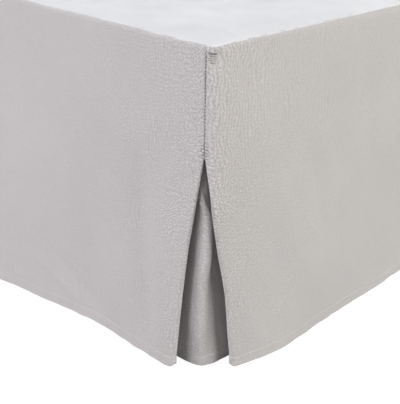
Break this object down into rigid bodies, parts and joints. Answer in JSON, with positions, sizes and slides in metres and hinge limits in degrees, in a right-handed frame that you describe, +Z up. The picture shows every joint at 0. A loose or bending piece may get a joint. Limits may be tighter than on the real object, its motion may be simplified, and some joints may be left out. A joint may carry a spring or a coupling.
{
  "type": "bed skirt on box spring",
  "caption": "Grey tailored bed skirt with a white deck and stitched split corners, hung over a plain upholstered box spring on round legs, open at the head end.",
  "frame": {"origin": "on the floor, under the middle of the whole object", "axes": "+X toward the bed's right side seen from the foot end, +Y toward the head end, +Z up"},
  "size_m": [1.5892, 2.0995, 0.389],
  "materials": {
    "grey_cloth": "plain-woven warm light grey linen-look cotton, matt",
    "white_cloth": "plain white cotton sheeting, matt",
    "ticking": "plain off-white ticking, matt",
    "leg_wood": "dark stained wood, satin"
  },
  "bodies": {
    "root": {"deck": "white_cloth", "drop_foot": "grey_cloth", "drop_left": "grey_cloth", "drop_right": "grey_cloth", "pleat_left": "grey_cloth", "pleat_right": "grey_cloth", "box_spring": "ticking", "leg_1": "leg_wood", "leg_2": "leg_wood", "leg_3": "leg_wood", "leg_4": "leg_wood", "leg_5": "leg_wood", "leg_6": "leg_wood"}
  },
  "joints": []
}
